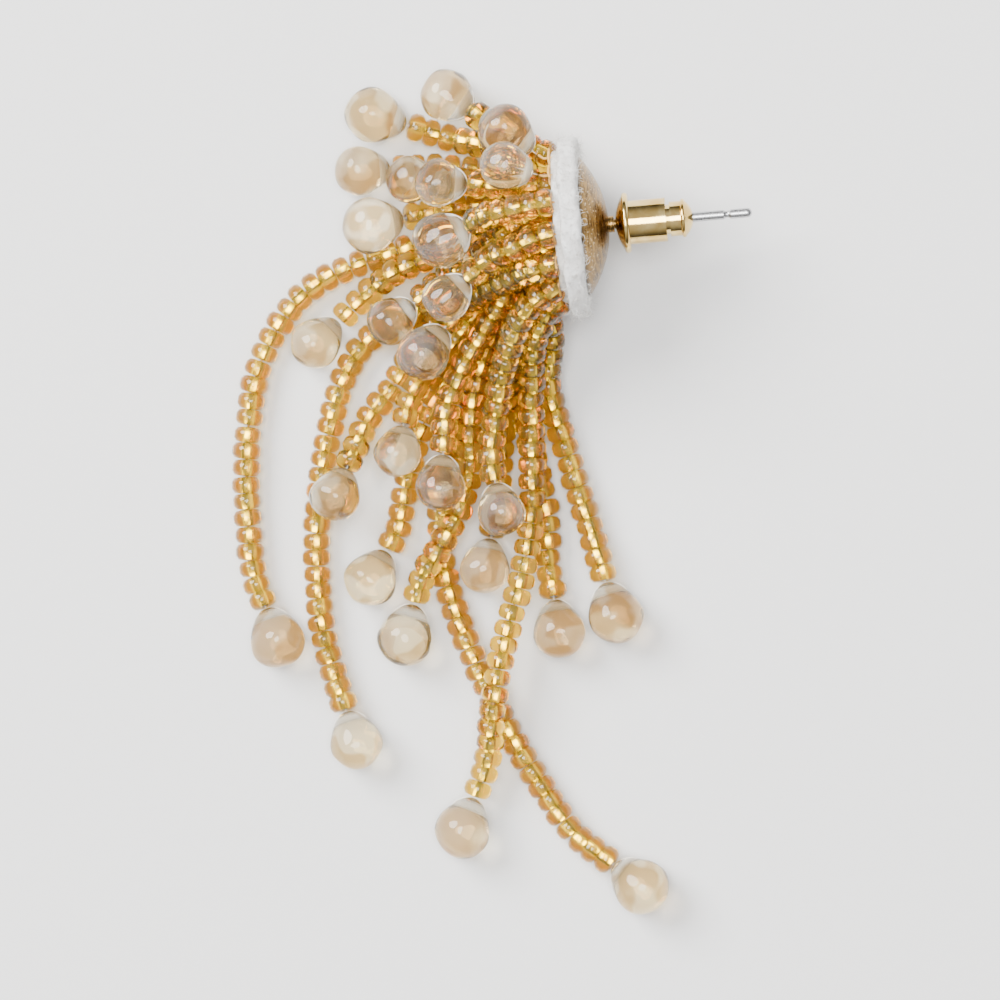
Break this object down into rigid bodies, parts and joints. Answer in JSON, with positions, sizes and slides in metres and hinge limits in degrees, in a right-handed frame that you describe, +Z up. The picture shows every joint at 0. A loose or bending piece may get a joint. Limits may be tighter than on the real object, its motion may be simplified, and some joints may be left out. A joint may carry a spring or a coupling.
{
  "type": "tassel earring",
  "caption": "Stud earring with a fanned tassel of amber seed-bead strands, each ending in a clear glass drop, lying flat.",
  "frame": {"origin": "on the table, under the middle of the bounding box of the earring as it lies", "axes": "+X along the ear post from the cup to the pin's tip, +Z up from the table, +Y towards the end of the pad away from the long strands"},
  "size_m": [0.0426, 0.0672, 0.0143],
  "materials": {
    "stud_metal": "brushed gold-plated cup with a plain steel-grey pin",
    "clutch_metal": "polished pale gold",
    "felt": "white felt",
    "seed_beads": "silver-lined transparent amber glass",
    "drop_glass": "clear champagne glass, glossy"
  },
  "bodies": {
    "earring": {"stud_back": "stud_metal", "felt_pad": "felt", "bead_tassel": "seed_beads", "drop_01": "drop_glass", "drop_02": "drop_glass", "drop_03": "drop_glass", "drop_04": "drop_glass", "drop_05": "drop_glass", "drop_06": "drop_glass", "drop_07": "drop_glass", "drop_08": "drop_glass", "drop_09": "drop_glass", "drop_10": "drop_glass", "drop_11": "drop_glass", "drop_12": "drop_glass", "drop_13": "drop_glass", "drop_14": "drop_glass", "drop_15": "drop_glass", "drop_16": "drop_glass", "drop_17": "drop_glass", "drop_18": "drop_glass", "drop_19": "drop_glass", "drop_20": "drop_glass", "drop_21": "drop_glass", "drop_22": "drop_glass", "drop_23": "drop_glass", "drop_24": "drop_glass", "drop_25": "drop_glass", "drop_26": "drop_glass"},
    "clutch": {"clutch": "clutch_metal"}
  },
  "joints": [
    {"name": "clutch_slide", "type": "slide", "parent": "earring", "child": "clutch", "axis": [1, 0, 0], "range_m": [0, 0.0098]}
  ]
}
